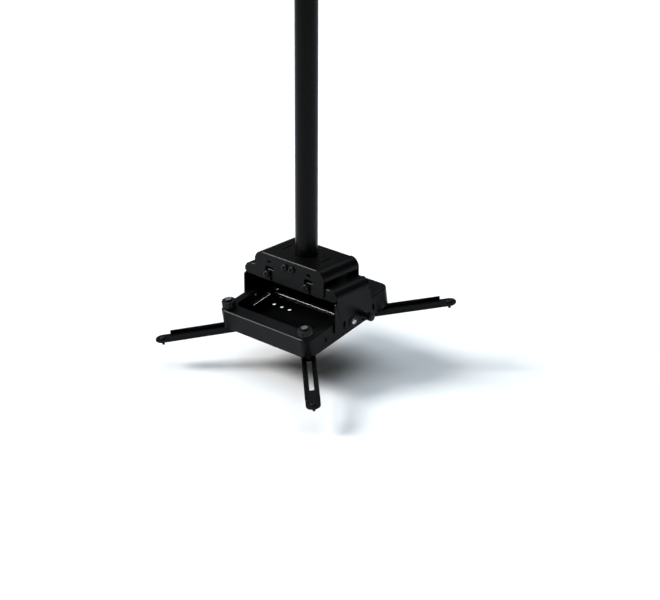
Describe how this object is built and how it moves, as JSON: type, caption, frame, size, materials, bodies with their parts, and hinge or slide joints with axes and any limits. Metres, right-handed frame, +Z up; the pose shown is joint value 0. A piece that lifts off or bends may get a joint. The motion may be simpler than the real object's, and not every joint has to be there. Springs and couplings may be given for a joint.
{
  "type": "projector ceiling mount",
  "caption": "Ceiling mount with a round drop pole, a swivelling folded-steel head, a tilting tray and slotted arms that swing and slide to reach a device's screw holes.",
  "frame": {"origin": "centre of the ceiling plate's upper face", "axes": "+Z up along the pole, towards the ceiling; X along the tray's front edge; the front faces -Y"},
  "size_m": [0.3259, 0.3161, 0.5608],
  "materials": {
    "black_coat": "satin powder coat",
    "black_screw": "black zinc",
    "bright_screw": "bright zinc",
    "nylon": "matte",
    "knob_plastic": "moulded black"
  },
  "bodies": {
    "ceiling": {"ceiling_plate": "black_coat", "collar_screws": "black_screw", "pole": "black_coat", "pole_nut": "black_coat", "thrust_washer": "nylon"},
    "head": {"upper_bracket": "black_coat", "pole_block": "black_coat", "block_screws": "black_screw", "yoke": "black_coat", "hook_screws": "black_screw", "hook_nuts": "black_screw"},
    "tray": {"tray_shell": "black_coat", "tray_floor": "black_coat", "corner_spacers": "black_coat", "corner_washers": "black_screw", "pivot_rod": "black_coat", "pivot_spacers": "nylon", "pivot_washers": "black_screw", "pivot_screws": "bright_screw", "lock_studs": "black_screw", "lock_nuts": "black_screw", "lock_washers": "black_screw"},
    "knob_left": {"lock_knob_left": "knob_plastic"},
    "knob_right": {"lock_knob_right": "knob_plastic"},
    "clamp_front_left": {"corner_bolt_front_left": "black_screw"},
    "arm_front_left": {"arm_front_left": "black_coat", "arm_screw_front_left": "black_screw"},
    "nut_front_left": {"thumb_nut_front_left": "knob_plastic"},
    "clamp_front_right": {"corner_bolt_front_right": "black_screw"},
    "arm_front_right": {"arm_front_right": "black_coat", "arm_screw_front_right": "black_screw"},
    "nut_front_right": {"thumb_nut_front_right": "knob_plastic"},
    "clamp_rear_left": {"corner_bolt_rear_left": "black_screw"},
    "arm_rear_left": {"arm_rear_left": "black_coat", "arm_screw_rear_left": "black_screw"},
    "nut_rear_left": {"thumb_nut_rear_left": "knob_plastic"},
    "clamp_rear_right": {"corner_bolt_rear_right": "black_screw"},
    "arm_rear_right": {"arm_rear_right": "black_coat", "arm_screw_rear_right": "black_screw"},
    "nut_rear_right": {"thumb_nut_rear_right": "knob_plastic"}
  },
  "joints": [
    {"name": "head_swivel", "type": "hinge", "parent": "ceiling", "child": "head", "pos_m": [0, 0, -0.425], "axis": [0, 0, 1], "range_deg": [-180, 180]},
    {"name": "tray_tilt", "type": "hinge", "parent": "head", "child": "tray", "pos_m": [0, 0, -0.503], "axis": [1, 0, 0], "range_deg": [-20.8, 1.2]},
    {"name": "knob_turn_left", "type": "hinge", "parent": "tray", "child": "knob_left", "pos_m": [-0.1, 0.02168, -0.49926], "axis": [-1, 0, 0], "continuous": true},
    {"name": "knob_turn_right", "type": "hinge", "parent": "tray", "child": "knob_right", "pos_m": [0.1, 0.02168, -0.49926], "axis": [1, 0, 0], "continuous": true},
    {"name": "arm_swing_front_left", "type": "hinge", "parent": "tray", "child": "clamp_front_left", "pos_m": [-0.0734, -0.08209, -0.50247], "axis": [0, -0.1702, 0.9854], "range_deg": [-40, 40]},
    {"name": "arm_slide_front_left", "type": "slide", "parent": "clamp_front_left", "child": "arm_front_left", "axis": [-0.6691, -0.7323, -0.1265], "range_m": [-0.022, 0.025]},
    {"name": "nut_turn_front_left", "type": "hinge", "parent": "clamp_front_left", "child": "nut_front_left", "pos_m": [-0.0734, -0.08209, -0.50247], "axis": [0, -0.1702, 0.9854], "continuous": true},
    {"name": "arm_swing_front_right", "type": "hinge", "parent": "tray", "child": "clamp_front_right", "pos_m": [0.0734, -0.08209, -0.50247], "axis": [0, -0.1702, 0.9854], "range_deg": [-40, 40]},
    {"name": "arm_slide_front_right", "type": "slide", "parent": "clamp_front_right", "child": "arm_front_right", "axis": [0.7071, -0.6968, -0.1204], "range_m": [-0.037, 0.01]},
    {"name": "nut_turn_front_right", "type": "hinge", "parent": "clamp_front_right", "child": "nut_front_right", "pos_m": [0.0734, -0.08209, -0.50247], "axis": [0, -0.1702, 0.9854], "continuous": true},
    {"name": "arm_swing_rear_left", "type": "hinge", "parent": "tray", "child": "clamp_rear_left", "pos_m": [-0.066, 0.04562, -0.48041], "axis": [0, -0.1702, 0.9854], "range_deg": [-40, 40]},
    {"name": "arm_slide_rear_left", "type": "slide", "parent": "clamp_rear_left", "child": "arm_rear_left", "axis": [-0.6884, 0.7148, 0.1235], "range_m": [-0.0415, 0.0055]},
    {"name": "nut_turn_rear_left", "type": "hinge", "parent": "clamp_rear_left", "child": "nut_rear_left", "pos_m": [-0.066, 0.04562, -0.48041], "axis": [0, -0.1702, 0.9854], "continuous": true},
    {"name": "arm_swing_rear_right", "type": "hinge", "parent": "tray", "child": "clamp_rear_right", "pos_m": [0.066, 0.04562, -0.48041], "axis": [0, -0.1702, 0.9854], "range_deg": [-40, 40]},
    {"name": "arm_slide_rear_right", "type": "slide", "parent": "clamp_rear_right", "child": "arm_rear_right", "axis": [0.6884, 0.7148, 0.1235], "range_m": [-0.0415, 0.0055]},
    {"name": "nut_turn_rear_right", "type": "hinge", "parent": "clamp_rear_right", "child": "nut_rear_right", "pos_m": [0.066, 0.04562, -0.48041], "axis": [0, -0.1702, 0.9854], "continuous": true}
  ]
}
